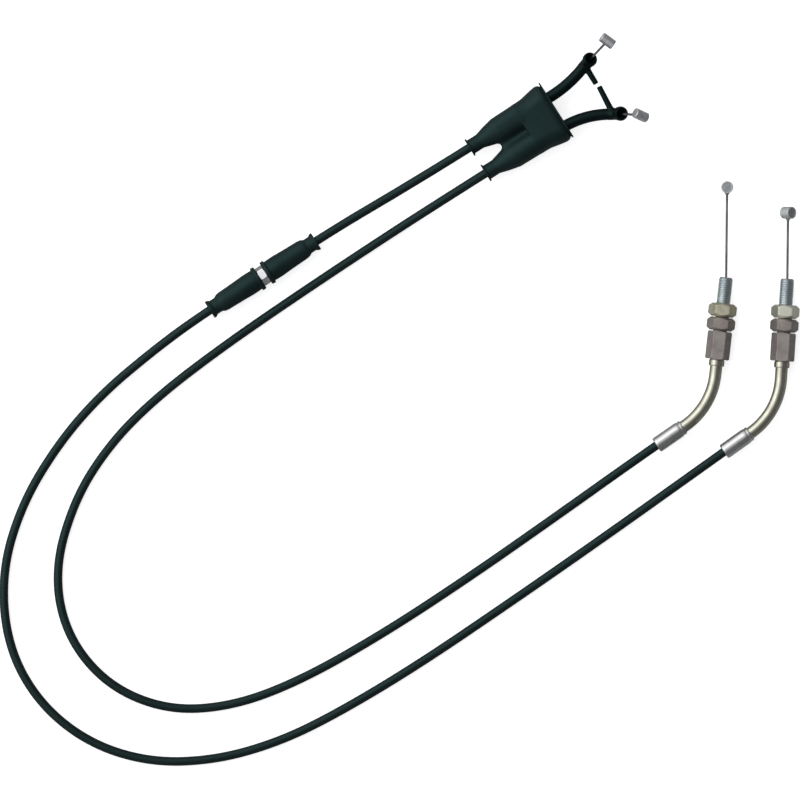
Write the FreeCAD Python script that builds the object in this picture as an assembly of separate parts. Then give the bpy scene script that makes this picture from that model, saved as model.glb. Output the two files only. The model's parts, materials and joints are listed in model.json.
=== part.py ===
"""A motorcycle throttle cable set: a pull cable with an inline adjuster, and a return cable.

Units are millimetres. +X runs to the carburettor fittings, +Y up the length of the studs, and
+Z up from the surface that the set lies on, which is z = 0.
"""

import FreeCAD, Part
import math
import os

# Housing, from the wire out: each layer keeps a small gap to the next.
WIRE_R = 0.7
LINER_R = (1.0, 1.3)
CONDUIT_R = (1.5, 1.9)
JACKET_R = (2.1, 2.5)
SOCKET_GAP = 0.1

# Y-shaped dust boot: local x points out of its mouth, local y towards the pull cable's leg.
BOOT_AT = (30.6, 75.7, 9.0)
BOOT_HEADING = 32.3
BOOT_LENGTH = 53.0
BOOT_WALL = 1.8
BOOT_LEAN = -0.35
BOOT_SECTIONS = ((0.0, 17.7, 8.7), (-3.5, 18.0, 9.0), (-8.0, 17.4, 8.9), (-14.0, 16.2, 8.6),
                 (-20.4, 15.7, 8.1))
CROTCH_X = -37.0
PULL_Y = 8.1
RETURN_Y = -8.8
LEG_BORE_R = 3.1

# Moulded elbows.
ELBOW_R = 3.25
ELBOW_BORE_R = 1.6
ELBOW_SOCKET_R = 4.0
ELBOW_SOCKET_X = (-34.0, -19.0)
CAP_X = (-32.5, -23.2)
CAP_WALL = 0.8
CAP_R = 3.05
ELBOW_TIP_R = 4.05
ELBOW_RISE = (9.8, 45.0)
ELBOW_TIP_RUN = 1.5
PEG_R = (1.8, 1.5)
PEG_PLACE = 0.35

# Wire ends at the grip: heading, climb, distance from the elbow's tip to the nipple.
PULL_GRIP = (46.6, 45.0, 20.2)
RETURN_GRIP = (-5.7, 58.5, 21.4)
MOUTH_CLIMB = 72.0
EXIT_BORE_R = 1.2
GRIP_NIPPLE_R = 2.9
GRIP_NIPPLE_LENGTH = 8.3
GRIP_WIRE_TAIL = 0.5

# Inline adjuster: local x points to the grip, and 0 is the middle of the locknut.
ADJUSTER_AT = (-134.6, -17.5, 7.25)
ADJUSTER_HEADING = 33.0
M6_R = 3.0
THREAD_GAP = 0.05
LOCKNUT_FLATS = 10.0
LOCKNUT_LENGTH = 5.0
LOCKNUT_TURN = -9.7
SCREW_HEAD_X = (10.0, 22.0)
SCREW_TIP_X = -14.0
SLEEVE_X = (-27.0, -2.8)
SLEEVE_R = 4.2
ADJUSTER_CAP_LENGTH = 8.0
LIP_X = 2.0

# Carburettor fittings: local x points out of the stud's tip, local y to the bend's inside.
# Each guide tube is its straight run below the collar, its turn, and its run to the ferrule.
PULL_TIP = (160.3, -19.3, 7.0)
PULL_TILT = 3.7
RETURN_TIP = (125.9, -18.5, 7.0)
RETURN_TILT = 6.4
M8_R = 4.0
STUD_FREE = 14.8
RELIEF = (-0.15, 0.6, 0.5)
NUT_FLATS = 14.0
NUT_LENGTH = 7.5
NUT_GAP = 0.35
HEX_FLATS = 12.0
HEX_LENGTH = 15.9
COLLAR_R = 4.4
COLLAR_LENGTH = 3.7
BARREL_BORE_R = 1.6
TUBE_R = (2.2, 3.5)
TUBE_SOCKET = 8.45
TUBE_BEND_R = 40.4
PULL_TUBE = (6.2, 50.8, 0.46)
RETURN_TUBE = (4.97, 48.8, 1.18)
FERRULE_R = 4.5
FERRULE_LENGTH = 18.3
FERRULE_TUBE_DEPTH = 4.0
FERRULE_CABLE_X = 5.3
CARB_NIPPLE_R = 3.4
CARB_NIPPLE_LENGTH = 6.8
CARB_WIRE_TAIL = 18.0
CARB_WIRE_TILT = 0.6
CARB_WIRE_BEND_R = 45.0
PULL_CARB_REACH = 37.1
RETURN_CARB_REACH = 50.7
PULL_NIPPLE_LEAN = 42.0

# Free runs of cable, chosen by hand: each also has two points in the piece at either end.
PULL_UPPER_ROUTE = [(-60.1, 28.8, 6.3)]
PULL_LOWER_ROUTE = [
    (-197.2, -60.5, 4.0), (-224.8, -83.6, 2.5), (-248.6, -110.6, 2.5), (-269.9, -145.3, 2.5),
    (-281.6, -184.4, 2.5), (-278.4, -225.2, 2.5), (-261.2, -257.4, 2.5), (-232.9, -280.4, 2.5),
    (-198.2, -291.3, 2.5), (-161.9, -290.1, 2.5), (-127.1, -280.4, 2.5), (-94.6, -264.8, 2.5),
    (-48.2, -237.1, 2.5), (6.6, -199.9, 2.5), (59.6, -163.0, 2.5)]
RETURN_ROUTE = [
    (-62.5, 6.3, 3.5), (-117.5, -30.2, 2.5), (-160.5, -59.9, 2.5), (-196.0, -87.3, 2.5),
    (-221.3, -113.1, 2.5), (-240.6, -143.7, 2.5), (-251.9, -183.0, 2.5), (-245.5, -219.2, 2.5),
    (-222.5, -247.8, 2.5), (-188.7, -262.0, 2.5), (-152.3, -259.9, 2.5), (-114.2, -245.7, 2.5),
    (-67.2, -219.1, 2.5), (-17.4, -186.4, 2.5), (37.6, -147.8, 2.5)]
BOOT_RUN_X = {"pull": -61.0, "return": -66.0}
JACKET_END_X = -24.0
ADJUSTER_RUN_X = 47.0
FERRULE_RUN = 35.0
ARC_SHARE = 0.45

X = FreeCAD.Vector(1, 0, 0)
Z = FreeCAD.Vector(0, 0, 1)


def vector(x, y=0.0, z=0.0):
    return FreeCAD.Vector(x, y, z)


def unit(v):
    return v * (1.0 / v.Length)


def heading(degrees, climb=0.0):
    """The direction at an angle from +X towards +Y, climbing by an angle."""
    flat = math.cos(math.radians(climb))
    turn = math.radians(degrees)
    return vector(flat * math.cos(turn), flat * math.sin(turn), math.sin(math.radians(climb)))


def frame(origin, along, up=Z):
    """The placement that turns local +X to `along`, with local +Z as near `up` as it can be."""
    x = unit(along)
    y = unit(up.cross(x))
    return FreeCAD.Placement(origin, FreeCAD.Rotation(x, y, x.cross(y), "XYZ"))


def at(place, x, y=0.0, z=0.0):
    return place.multVec(vector(x, y, z))


def placed(shape, place):
    moved = shape.copy()
    moved.Placement = place.multiply(shape.Placement)
    return moved


def lathe(outline):
    """A solid turned about local X from (x, radius) points in order round its section."""
    points = [vector(x, 0, r) for x, r in outline]
    return Part.Face(Part.makePolygon(points + points[:1])).revolve(vector(0), X, 360)


def rod(x0, x1, radius):
    return Part.makeCylinder(radius, x1 - x0, vector(x0), X)


def rounded(shape, places):
    """Fillet the circular edges at each (x, edge radius, fillet radius)."""
    for x, radius, fillet in places:
        edges = [e for e in shape.Edges if isinstance(e.Curve, Part.Circle)
                 and abs(e.Curve.Center.x - x) < 0.01 and abs(e.Curve.Radius - radius) < 0.01]
        shape = shape.makeFillet(fillet, edges)
    return shape


class Pen:
    """A path of straight runs and tangent arcs, drawn from a point in a direction."""

    def __init__(self, start, along):
        self.point = start
        self.along = unit(along)
        self.edges = []

    def ahead(self, length):
        end = self.point + self.along * length
        self.edges.append(Part.LineSegment(self.point, end).toShape())
        self.point = end

    def bend(self, radius, degrees, about):
        """Turn by the right-hand rule about an axis that is square to the path."""
        centre = self.point + unit(about).cross(self.along) * radius
        spoke = self.point - centre
        half = FreeCAD.Rotation(about, degrees / 2.0)
        whole = FreeCAD.Rotation(about, degrees)
        end = centre + whole.multVec(spoke)
        self.edges.append(Part.Arc(self.point, centre + half.multVec(spoke), end).toShape())
        self.point = end
        self.along = whole.multVec(self.along)

    def swing(self, radius, degrees, about):
        """Bend either way: a negative angle turns the other way about the axis."""
        if degrees < 0:
            self.bend(radius, -degrees, about * -1)
        else:
            self.bend(radius, degrees, about)


def route_edges(name, points):
    """Straight runs joined by tangent arcs as large as the runs allow."""
    edges = []
    radii = []
    start = points[0]
    for before, corner, after in zip(points, points[1:], points[2:]):
        into = corner - before
        out = after - corner
        half = into.getAngle(out) / 2.0
        reach = ARC_SHARE * min(into.Length, out.Length)
        radius = reach / math.tan(half)
        inward = unit(unit(out) - unit(into))
        first = corner - unit(into) * reach
        last = corner + unit(out) * reach
        middle = corner + inward * (radius / math.cos(half) - radius)
        edges.append(Part.LineSegment(start, first).toShape())
        edges.append(Part.Arc(first, middle, last).toShape())
        radii.append(round(radius))
        start = last
    edges.append(Part.LineSegment(start, points[-1]).toShape())
    length = sum(e.Length for e in edges)
    print(name, "length", round(length, 1), "radii", radii)
    return edges


def sweep(edges, radius):
    path = Part.Wire(Part.__sortEdges__(edges))
    first = path.OrderedEdges[0]
    start = path.OrderedVertexes[0].Point
    along = first.tangentAt(first.getParameterByLength(0.0))
    if (first.valueAt(first.FirstParameter) - start).Length > 0.001:
        along = first.tangentAt(first.LastParameter)
    circle = Part.Wire([Part.makeCircle(radius, start, along)])
    return path.makePipeShell([circle], True, True)


def pipe(edges, inner, outer):
    return sweep(edges, outer).cut(sweep(edges, inner))


def hex_prism(flats, x0, x1, chamfer_r):
    """A hexagonal bar with two flats facing up and down and chamfered corners."""
    corner = flats / math.sqrt(3)
    points = [vector(x0, corner * math.cos(math.radians(a)), corner * math.sin(math.radians(a)))
              for a in range(0, 361, 60)]
    bar = Part.Face(Part.makePolygon(points)).extrude(vector(x1 - x0))
    drop = (corner - chamfer_r) * 0.6
    turned = lathe([(x0, 0), (x0, chamfer_r), (x0 + drop, corner), (x1 - drop, corner),
                    (x1, chamfer_r), (x1, 0)])
    return bar.common(turned)


def stadium(x, half_width, half_height, lean):
    """A flat-sided oval wire in the plane at x."""
    run = half_width - half_height
    corners = [vector(x, lean - run, -half_height), vector(x, lean + run, -half_height),
               vector(x, lean + run, half_height), vector(x, lean - run, half_height)]
    right = vector(x, lean + half_width, 0)
    left = vector(x, lean - half_width, 0)
    return Part.Wire([Part.LineSegment(corners[0], corners[1]).toShape(),
                      Part.Arc(corners[1], right, corners[2]).toShape(),
                      Part.LineSegment(corners[2], corners[3]).toShape(),
                      Part.Arc(corners[3], left, corners[0]).toShape()])


def dust_boot(place):
    """A hood over both elbows, on two tapered legs that grip the cables."""
    hood = Part.makeLoft([stadium(x, w, h, BOOT_LEAN) for x, w, h in BOOT_SECTIONS], True)
    hollow = [(x, w - BOOT_WALL, h - BOOT_WALL) for x, w, h in BOOT_SECTIONS]
    hollow[0] = (0.5,) + hollow[0][1:]
    inside = Part.makeLoft([stadium(x, w, h, BOOT_LEAN) for x, w, h in hollow], True)
    end = -BOOT_LENGTH
    leg = lathe([(end, 0), (end, 5.4), (end + 1, 5.4), (end + 1, 4.3), (-46, 4.3), (-40, 6.0),
                 (-34, 7.3), (-20, 7.5), (-20, 0)])
    bore = lathe([(end - 1, 0), (end - 1, LEG_BORE_R), (-44, LEG_BORE_R), (-36, 5.3),
                  (-20, 5.7), (-20, 0)])
    web = Part.makeBox(-20 - CROTCH_X, RETURN_Y * -1 + PULL_Y, 8.0,
                       vector(CROTCH_X, RETURN_Y, -4.0))
    body = hood.fuse([leg.translated(vector(0, y)) for y in (PULL_Y, RETURN_Y)] + [web])
    bores = [bore.translated(vector(0, y)) for y in (PULL_Y, RETURN_Y)]
    return placed(body.cut(inside.fuse(bores)).removeSplitter(), place)


def elbow_pen(place, y, moves):
    """The elbow's centreline, from its socket's floor to its tip, in the boot's frame."""
    pen = Pen(at(place, CAP_X[1], y), place.Rotation.multVec(X))
    for move in moves:
        if len(move) == 1:
            pen.ahead(move[0])
        else:
            pen.swing(move[0], move[1], Z)
    pen.swing(ELBOW_RISE[0], ELBOW_RISE[1], pen.along.cross(Z))
    pen.ahead(ELBOW_TIP_RUN)
    return pen


PULL_MOVES = ((24.7,), (72.0, 17.5))
RETURN_MOVES = ((3.2,), (60.0, -5.0), (15.9,), (51.4, -25.0))


def elbow(place, y, pen, spec, peg_tip):
    """A moulded elbow: socket for the housing's cap, bent tube, round tip and locating peg.

    Its mouth is a cup that faces up more steeply than the wire leaves it.
    """
    axis = frame(at(place, 0, y), place.Rotation.multVec(X))
    socket = placed(rod(ELBOW_SOCKET_X[0], ELBOW_SOCKET_X[1], ELBOW_SOCKET_R), axis)
    tube = sweep(pen.edges, ELBOW_R)
    tip = Part.makeSphere(ELBOW_TIP_R, pen.point)
    rise = pen.edges[-2]
    span = rise.LastParameter - rise.FirstParameter
    root = rise.valueAt(rise.FirstParameter + PEG_PLACE * span)
    reach = peg_tip - root
    peg = Part.makeCone(PEG_R[0], PEG_R[1], reach.Length, root, reach)
    cup = frame(pen.point, heading(spec[0], MOUTH_CLIMB))
    mouth = placed(lathe([(-1, 0), (-1, ELBOW_BORE_R), (0.5, ELBOW_BORE_R), (5, 5.7), (5, 0)]),
                   cup)
    exit_bore = placed(rod(-3.9, 3.0, EXIT_BORE_R), frame(pen.point, heading(spec[0], spec[1])))
    opening = placed(rod(ELBOW_SOCKET_X[0] - 1, CAP_X[1], CAP_R + SOCKET_GAP), axis)
    hollow = sweep(pen.edges, ELBOW_BORE_R).fuse([mouth, exit_bore, opening])
    return socket.fuse([tube, tip, peg]).cut(hollow)


def cap(place, open_x, closed_x):
    """A metal cap on the housing's end; its floor has a hole for the wire."""
    step = CAP_WALL if closed_x > open_x else -CAP_WALL
    inner = JACKET_R[1] + SOCKET_GAP
    return placed(lathe([(open_x, inner), (open_x, CAP_R), (closed_x, CAP_R),
                         (closed_x, LINER_R[0]), (closed_x - step, LINER_R[0]),
                         (closed_x - step, inner)]), place)


def nipple(centre, axis, radius, length, wire_from):
    """A barrel across the wire's end, with a blind hole that the wire is fixed in."""
    barrel = Part.makeCylinder(radius, length, centre - unit(axis) * (length / 2), axis)
    ends = [e for e in barrel.Edges if isinstance(e.Curve, Part.Circle)]
    barrel = barrel.makeFillet(0.4, ends)
    hole = Part.makeCylinder(WIRE_R + 0.02, radius + 1, centre, wire_from)
    return barrel.cut(hole)


def grip_end(pen, spec, axis):
    """The wire from the elbow's tip to its nipple, and the nipple."""
    along = heading(spec[0], spec[1])
    centre = pen.point + along * spec[2]
    start = pen.point - along * GRIP_WIRE_TAIL
    wire = Part.makeCylinder(WIRE_R, spec[2] + GRIP_WIRE_TAIL, start, along)
    return wire, nipple(centre, axis, GRIP_NIPPLE_R, GRIP_NIPPLE_LENGTH, along * -1)


def adjuster_screw(place):
    """Hollow screw: a head with the upper housing's socket, and an M6 shank."""
    socket_floor = SCREW_HEAD_X[1] - ADJUSTER_CAP_LENGTH - 0.8
    bore = LINER_R[1]
    return placed(lathe([
        (SCREW_TIP_X, bore), (SCREW_TIP_X, M6_R - 0.5), (SCREW_TIP_X + 0.5, M6_R),
        (SCREW_HEAD_X[0], M6_R), (SCREW_HEAD_X[0], SLEEVE_R), (SCREW_HEAD_X[1], SLEEVE_R),
        (SCREW_HEAD_X[1], CAP_R + SOCKET_GAP), (socket_floor, CAP_R + SOCKET_GAP),
        (socket_floor, bore)]), place)


def adjuster_sleeve(place):
    """Round sleeve on the screw, with the lower housing's socket at its far end."""
    socket_floor = SLEEVE_X[0] + ADJUSTER_CAP_LENGTH + 0.8
    return placed(lathe([
        (SLEEVE_X[0], CAP_R + SOCKET_GAP), (SLEEVE_X[0], SLEEVE_R), (SLEEVE_X[1], SLEEVE_R),
        (SLEEVE_X[1], M6_R + THREAD_GAP), (SCREW_TIP_X - 2.5, M6_R + THREAD_GAP),
        (SCREW_TIP_X - 2.5, LINER_R[1]), (socket_floor, LINER_R[1]),
        (socket_floor, CAP_R + SOCKET_GAP)]), place)


def locknut(place):
    half = LOCKNUT_LENGTH / 2
    nut = hex_prism(LOCKNUT_FLATS, -half, half, LOCKNUT_FLATS * 0.48)
    nut = nut.cut(rod(-half, half, M6_R + THREAD_GAP))
    nut.rotate(vector(0), X, LOCKNUT_TURN)
    return placed(nut, place)


def adjuster_boot(place):
    """A tapered rubber cover: rolled lip at the nut, neck and flange on the cable."""
    shell = lathe([
        (0, 5.95), (0, 7.0), (2.1, 7.2), (2.9, 6.2), (8, 6.2), (14, 5.9), (24.5, 5.6), (26, 5.3),
        (28, 4.45), (31.2, 4.45), (32.2, 5.3), (33.7, 5.3), (33.7, LEG_BORE_R), (29, LEG_BORE_R),
        (26, 4.4), (12, 4.8), (2.6, 4.8), (2.4, 5.95)])
    return placed(rounded(shell, ((0, 7.0, 0.6), (2.1, 7.2, 0.5), (32.2, 5.3, 0.4))), place)


def barrel(place):
    """Threaded stud, long hexagon and collar in one piece; the thread is a plain cylinder.

    A relief groove at the upper nut's face ends the stretch that takes a bracket.
    """
    nuts = 2 * NUT_LENGTH + NUT_GAP
    top = -(STUD_FREE + nuts + 0.4)
    foot = top - HEX_LENGTH
    end = foot - COLLAR_LENGTH
    start = -STUD_FREE - RELIEF[0]
    low = M8_R - RELIEF[2]
    turned = lathe([(end, 0), (end, COLLAR_R), (foot, COLLAR_R), (foot, M8_R),
                    (start - RELIEF[1], M8_R), (start - RELIEF[1], low), (start, low),
                    (start, M8_R), (-0.7, M8_R), (0, M8_R - 0.7), (0, 0)])
    bar = hex_prism(HEX_FLATS, foot, top, HEX_FLATS * 0.5)
    bore = rod(end, 0, BARREL_BORE_R).fuse(rod(end, end + TUBE_SOCKET, TUBE_R[1] + 0.05))
    return placed(turned.fuse(bar).cut(bore), place), end


def carb_nut(place, top):
    nut = hex_prism(NUT_FLATS, top - NUT_LENGTH, top, NUT_FLATS * 0.485)
    return placed(nut.cut(rod(top - NUT_LENGTH, top, M8_R + THREAD_GAP)), place)


def carb_ferrule(place):
    """Crimped ferrule: local x = 0 at its tube end, running towards the cable."""
    length = FERRULE_LENGTH
    bore = JACKET_R[1] + SOCKET_GAP
    tube = TUBE_R[1] + 0.05
    shell = lathe([
        (0, tube), (0, 4.2), (1.4, 4.3), (1.8, 4.0), (2.2, 4.3), (3.4, FERRULE_R),
        (length, FERRULE_R), (length, bore), (FERRULE_CABLE_X, bore),
        (FERRULE_CABLE_X, LINER_R[0]), (FERRULE_TUBE_DEPTH, LINER_R[0]),
        (FERRULE_TUBE_DEPTH, tube)])
    return placed(rounded(shell, ((length, FERRULE_R, 0.9),)), place)


class Fitting:
    """Everything at one cable's carburettor end, placed by the stud's tip and tilt."""

    def __init__(self, tip, tilt, tube, reach, lean):
        run, turn, end_run = tube
        self.place = frame(vector(*tip), heading(90.0 - tilt))
        self.barrel, end = barrel(self.place)
        self.nut_upper = carb_nut(self.place, -STUD_FREE)
        self.nut_lower = carb_nut(self.place, -STUD_FREE - NUT_LENGTH - NUT_GAP)
        pen = Pen(at(self.place, end + TUBE_SOCKET), self.place.Rotation.multVec(X * -1))
        pen.ahead(TUBE_SOCKET + run)
        pen.swing(TUBE_BEND_R, -turn, Z)
        self.ferrule_place = frame(pen.point + pen.along * end_run, pen.along)
        pen.ahead(end_run + FERRULE_TUBE_DEPTH)
        self.tube_edges = pen.edges
        self.guide_tube = pipe(pen.edges, TUBE_R[0], TUBE_R[1])
        self.ferrule = carb_ferrule(self.ferrule_place)
        bent = tilt - CARB_WIRE_TILT
        bend_reach = CARB_WIRE_BEND_R * math.tan(math.radians(bent / 2.0))
        pen = Pen(at(self.place, -CARB_WIRE_TAIL), self.place.Rotation.multVec(X))
        pen.ahead(CARB_WIRE_TAIL - bend_reach)
        pen.swing(CARB_WIRE_BEND_R, bent, Z)
        pen.ahead(reach - bend_reach)
        self.wire = sweep(pen.edges, WIRE_R)
        lean = math.radians(lean)
        end = frame(pen.point, pen.along)
        axis = end.Rotation.multVec(vector(0, -math.sin(lean), math.cos(lean)))
        self.nipple = nipple(pen.point, axis, CARB_NIPPLE_R, CARB_NIPPLE_LENGTH, pen.along * -1)

    def cable_points(self):
        """The route's last two points: one out along the ferrule's axis, one at its floor."""
        return [at(self.ferrule_place, FERRULE_CABLE_X + FERRULE_RUN),
                at(self.ferrule_place, FERRULE_CABLE_X)]

    def wire_edges(self):
        """The inner wire's path from the housing's end to the carburettor wire's tail."""
        near = at(self.ferrule_place, FERRULE_CABLE_X)
        floor = at(self.ferrule_place, FERRULE_TUBE_DEPTH)
        tube_start = self.tube_edges[0].valueAt(self.tube_edges[0].FirstParameter)
        stop = at(self.place, -CARB_WIRE_TAIL - 0.5)
        return ([Part.LineSegment(near, floor).toShape()] + self.tube_edges[::-1]
                + [Part.LineSegment(tube_start, stop).toShape()])


def housing(nodes, name, edges):
    nodes[name + "_jacket"] = pipe(edges, *JACKET_R)
    nodes[name + "_conduit"] = pipe(edges, *CONDUIT_R)
    nodes[name + "_liner"] = pipe(edges, *LINER_R)
    area = math.pi * (JACKET_R[1] ** 2 - JACKET_R[0] ** 2)
    share = nodes[name + "_jacket"].Volume / (area * sum(e.Length for e in edges))
    print(name, "jacket volume over section times length", round(share, 4))


def grip_side(nodes, boot):
    """The boot, elbows, caps and grip-end wires; returns the elbows' centrelines."""
    nodes["dust_boot"] = dust_boot(boot)
    pens = {"pull": elbow_pen(boot, PULL_Y, PULL_MOVES),
            "return": elbow_pen(boot, RETURN_Y, RETURN_MOVES)}
    peg_tips = {"pull": vector(52.8, 90.2, 9.4), "return": vector(54.4, 88.8, 9.4)}
    axes = {"pull": vector(0.800, -0.587, -0.123), "return": vector(0.788, -0.356, -0.502)}
    specs = {"pull": PULL_GRIP, "return": RETURN_GRIP}
    for name, y in (("pull", PULL_Y), ("return", RETURN_Y)):
        nodes[name + "_elbow"] = elbow(boot, y, pens[name], specs[name], peg_tips[name])
        axis = frame(at(boot, 0, y), boot.Rotation.multVec(X))
        nodes[name + "_grip_ferrule"] = cap(axis, CAP_X[0], CAP_X[1])
        wire, end = grip_end(pens[name], specs[name], axes[name])
        nodes[name + "_grip_wire"] = wire
        nodes[name + "_grip_nipple"] = end
    return pens


def adjuster_pieces(nodes, place):
    back = frame(place.Base, place.Rotation.multVec(X * -1))
    lip = place.Rotation.multVec(X * LIP_X)
    nodes["adjuster_screw"] = adjuster_screw(place)
    nodes["adjuster_sleeve"] = adjuster_sleeve(place)
    nodes["adjuster_locknut"] = locknut(place)
    nodes["adjuster_boot_upper"] = adjuster_boot(frame(place.Base + lip, lip))
    nodes["adjuster_boot_lower"] = adjuster_boot(frame(place.Base - lip, lip * -1))
    floor = SCREW_HEAD_X[1] - ADJUSTER_CAP_LENGTH - 0.8
    nodes["adjuster_ferrule_upper"] = cap(place, floor + ADJUSTER_CAP_LENGTH, floor)
    floor = -(SLEEVE_X[0] + ADJUSTER_CAP_LENGTH + 0.8)
    nodes["adjuster_ferrule_lower"] = cap(back, floor + ADJUSTER_CAP_LENGTH, floor)
    upper_floor = SCREW_HEAD_X[1] - ADJUSTER_CAP_LENGTH - 0.8 + CAP_WALL
    lower_floor = SLEEVE_X[0] + ADJUSTER_CAP_LENGTH + 0.8 - CAP_WALL
    return upper_floor, lower_floor


def build():
    nodes = {}
    boot = frame(vector(*BOOT_AT), heading(BOOT_HEADING))
    adjuster = frame(vector(*ADJUSTER_AT), heading(ADJUSTER_HEADING))
    pens = grip_side(nodes, boot)
    upper_x, lower_x = adjuster_pieces(nodes, adjuster)
    fittings = {
        "pull": Fitting(PULL_TIP, PULL_TILT, PULL_TUBE, PULL_CARB_REACH, PULL_NIPPLE_LEAN),
        "return": Fitting(RETURN_TIP, RETURN_TILT, RETURN_TUBE, RETURN_CARB_REACH, 0.0)}
    for name, fitting in fittings.items():
        nodes[name + "_carb_ferrule"] = fitting.ferrule
        nodes[name + "_guide_tube"] = fitting.guide_tube
        nodes[name + "_threaded_barrel"] = fitting.barrel
        nodes[name + "_nut_upper"] = fitting.nut_upper
        nodes[name + "_nut_lower"] = fitting.nut_lower
        nodes[name + "_carb_wire"] = fitting.wire
        nodes[name + "_carb_nipple"] = fitting.nipple

    boot_points = {name: [at(boot, JACKET_END_X, y), at(boot, BOOT_RUN_X[name], y)]
                   for name, y in (("pull", PULL_Y), ("return", RETURN_Y))}
    upper = route_edges("pull_upper", boot_points["pull"]
                        + [vector(*p) for p in PULL_UPPER_ROUTE]
                        + [at(adjuster, ADJUSTER_RUN_X), at(adjuster, upper_x)])
    lower = route_edges("pull_lower", [at(adjuster, lower_x), at(adjuster, -ADJUSTER_RUN_X + 1)]
                        + [vector(*p) for p in PULL_LOWER_ROUTE]
                        + fittings["pull"].cable_points())
    back = route_edges("return", boot_points["return"] + [vector(*p) for p in RETURN_ROUTE]
                       + fittings["return"].cable_points())
    housing(nodes, "pull_upper", upper)
    housing(nodes, "pull_lower", lower)
    housing(nodes, "return", back)

    def elbow_wire(name, y):
        joint = Part.LineSegment(at(boot, CAP_X[1], y), at(boot, JACKET_END_X, y)).toShape()
        return pens[name].edges[-2::-1] + [joint]

    through = Part.LineSegment(at(adjuster, upper_x), at(adjuster, lower_x)).toShape()
    nodes["pull_inner_wire"] = sweep(elbow_wire("pull", PULL_Y) + upper + [through] + lower
                                     + fittings["pull"].wire_edges(), WIRE_R)
    nodes["return_inner_wire"] = sweep(elbow_wire("return", RETURN_Y) + back
                                       + fittings["return"].wire_edges(), WIRE_R)
    return nodes


os.makedirs("parts", exist_ok=True)
for node, shape in build().items():
    print(node, shape.isValid(), len(shape.Solids), round(shape.Volume, 1))
    shape.Solids[0].exportStep("parts/" + node + ".step")
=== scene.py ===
"""Looks for the motorcycle throttle cable set.

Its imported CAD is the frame, and every piece here rides on one of the frame's bodies. Lengths in
the building code are millimetres in each piece's own frame, whose x is its axis.
"""

import json
import math

import bpy
import numpy as np
from mathutils import Matrix, Vector


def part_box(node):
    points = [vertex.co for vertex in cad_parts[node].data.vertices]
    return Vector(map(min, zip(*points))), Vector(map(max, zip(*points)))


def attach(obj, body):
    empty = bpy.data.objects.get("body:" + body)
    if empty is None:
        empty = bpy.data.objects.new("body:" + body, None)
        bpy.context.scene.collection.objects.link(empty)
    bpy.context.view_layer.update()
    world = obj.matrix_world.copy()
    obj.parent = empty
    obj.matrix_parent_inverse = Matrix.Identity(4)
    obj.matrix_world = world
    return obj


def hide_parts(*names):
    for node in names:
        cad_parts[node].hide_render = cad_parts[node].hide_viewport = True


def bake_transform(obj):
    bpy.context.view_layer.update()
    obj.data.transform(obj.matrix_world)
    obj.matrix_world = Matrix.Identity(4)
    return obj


MM = 0.001
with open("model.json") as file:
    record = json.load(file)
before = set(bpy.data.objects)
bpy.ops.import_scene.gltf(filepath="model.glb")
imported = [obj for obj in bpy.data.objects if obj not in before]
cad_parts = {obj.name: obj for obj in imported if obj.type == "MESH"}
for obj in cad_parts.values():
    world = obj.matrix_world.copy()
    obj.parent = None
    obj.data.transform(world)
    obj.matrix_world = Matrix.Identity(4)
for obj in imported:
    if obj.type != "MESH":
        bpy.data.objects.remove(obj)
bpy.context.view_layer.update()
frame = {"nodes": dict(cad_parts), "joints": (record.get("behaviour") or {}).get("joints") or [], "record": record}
mounts = {m["name"]: m for m in frame["record"]["mounts"]}
slides = {j["name"]: j for j in frame["joints"]}


# ---- camera ----

VIEW_AT = (-0.0575, -0.0875)
VIEW_WIDTH = 0.45
LENS_MM = 1500.0
CLIP_END = 100.0

camera = bpy.data.objects.new("camera", bpy.data.cameras.new("camera"))
camera.data.lens = LENS_MM
camera.data.clip_end = CLIP_END
camera.location = (*VIEW_AT, VIEW_WIDTH * LENS_MM / camera.data.sensor_width)
bpy.context.scene.collection.objects.link(camera)
bpy.context.scene.camera = camera


# ---- materials ----

def shader(name):
    """A new material with its nodes, links and Principled BSDF."""
    made = bpy.data.materials.new(name)
    made.use_nodes = True
    nodes = made.node_tree.nodes
    return made, nodes, made.node_tree.links, nodes["Principled BSDF"]


def local_noise(nodes, links, scale, stretch=(1, 1, 1), detail=4.0, rough=0.5):
    """Noise in the piece's own coordinates; scale is in features per metre."""
    where = nodes.new("ShaderNodeTexCoord")
    fit = nodes.new("ShaderNodeMapping")
    fit.inputs["Scale"].default_value = stretch
    noise = nodes.new("ShaderNodeTexNoise")
    noise.inputs["Scale"].default_value = scale
    noise.inputs["Detail"].default_value = detail
    noise.inputs["Roughness"].default_value = rough
    links.new(where.outputs["Object"], fit.inputs["Vector"])
    links.new(fit.outputs["Vector"], noise.inputs["Vector"])
    return noise.outputs["Fac"]


def ramp(nodes, links, source, low, high, start=0.3, end=0.7):
    """A colour that runs from low to high as source goes from start to end."""
    made = nodes.new("ShaderNodeValToRGB")
    made.color_ramp.elements[0].position = start
    made.color_ramp.elements[0].color = (*low, 1)
    made.color_ramp.elements[1].position = end
    made.color_ramp.elements[1].color = (*high, 1)
    links.new(source, made.inputs["Fac"])
    return made.outputs["Color"]


def remap(nodes, links, source, low, high):
    """A value that runs from low to high as source goes from 0 to 1."""
    made = nodes.new("ShaderNodeMapRange")
    made.inputs["To Min"].default_value = low
    made.inputs["To Max"].default_value = high
    links.new(source, made.inputs["Value"])
    return made.outputs["Result"]


def bump(nodes, links, source, depth_mm, after=None):
    """A normal raised by source, over the normal given as after."""
    made = nodes.new("ShaderNodeBump")
    made.inputs["Strength"].default_value = 1.0
    made.inputs["Distance"].default_value = depth_mm * MM
    links.new(source, made.inputs["Height"])
    if after is not None:
        links.new(after, made.inputs["Normal"])
    return made.outputs["Normal"]


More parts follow.
